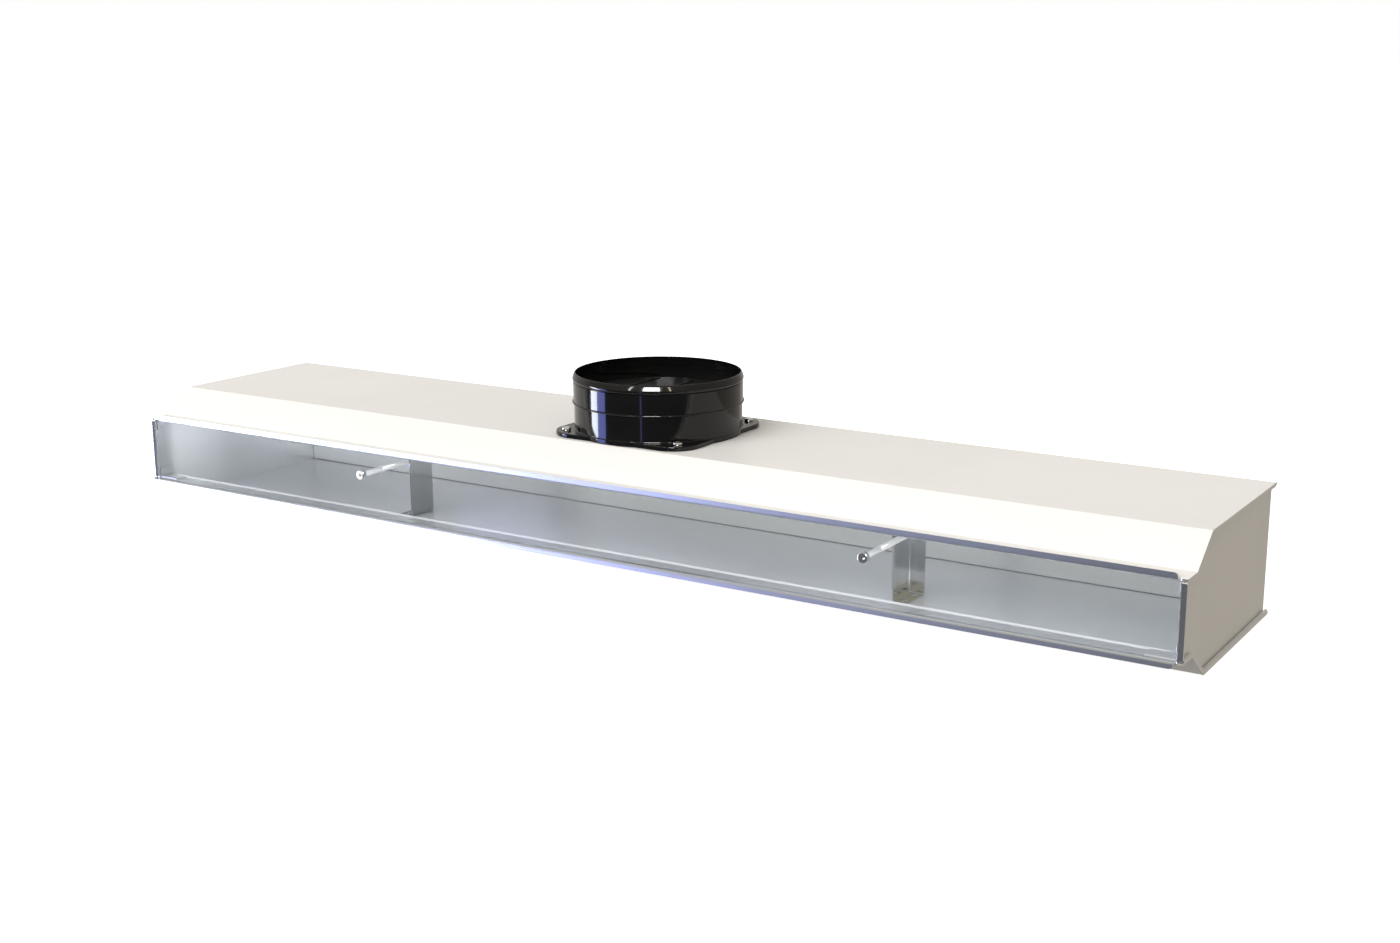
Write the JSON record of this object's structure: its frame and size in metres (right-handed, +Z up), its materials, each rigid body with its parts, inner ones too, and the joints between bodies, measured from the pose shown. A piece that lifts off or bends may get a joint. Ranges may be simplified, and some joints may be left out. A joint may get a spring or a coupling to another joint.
{
  "type": "island hood plenum",
  "caption": "Long folded-sheet plenum box with a slotted nose, a round duct collar with a butterfly damper on top, and long clamp screws on inner brackets.",
  "frame": {"origin": "under the middle of the box, on the plane that it stands on", "axes": "+X along the box, +Y from the slotted nose to the back, +Z up along the duct collar"},
  "size_m": [1.03, 0.2176, 0.1599],
  "materials": {
    "painted_steel": "satin off-white powder coat outside, bare steel inside",
    "bare_steel": "bright cold-rolled steel",
    "zinc": "bright zinc plate",
    "black_plastic": "gloss moulded",
    "foam": "closed-cell foam"
  },
  "bodies": {
    "plenum": {"top_panel": "painted_steel", "bottom_panel": "painted_steel", "back_panel": "painted_steel", "end_panel_left": "painted_steel", "end_panel_right": "painted_steel", "corner_gussets": "bare_steel", "screw_bracket_left": "bare_steel", "screw_bracket_right": "bare_steel", "bracket_rivets": "zinc", "rivet_nut_left": "zinc", "rivet_nut_right": "zinc", "duct_collar": "black_plastic", "collar_gasket": "foam", "collar_screws": "zinc", "collar_nuts": "zinc", "damper_spindle": "zinc", "damper_seat_seal": "foam"},
    "clamp_screw_left": {"clamp_screw_left": "zinc"},
    "clamp_screw_right": {"clamp_screw_right": "zinc"},
    "damper_flap_front": {"damper_flap_front": "black_plastic"},
    "damper_flap_rear": {"damper_flap_rear": "black_plastic"}
  },
  "joints": [
    {"name": "clamp_screw_left_travel", "type": "slide", "parent": "plenum", "child": "clamp_screw_left", "axis": [0, -1, 0], "range_m": [-0.0575, 0.01]},
    {"name": "clamp_screw_right_travel", "type": "slide", "parent": "plenum", "child": "clamp_screw_right", "axis": [0, -1, 0], "range_m": [-0.0575, 0.01]},
    {"name": "damper_flap_front_hinge", "type": "hinge", "parent": "plenum", "child": "damper_flap_front", "pos_m": [0, 0.01855, 0.1404], "axis": [-1, 0, 0], "range_deg": [0, 75]},
    {"name": "damper_flap_rear_hinge", "type": "hinge", "parent": "plenum", "child": "damper_flap_rear", "pos_m": [0, 0.01855, 0.1404], "axis": [1, 0, 0], "range_deg": [0, 75]}
  ]
}
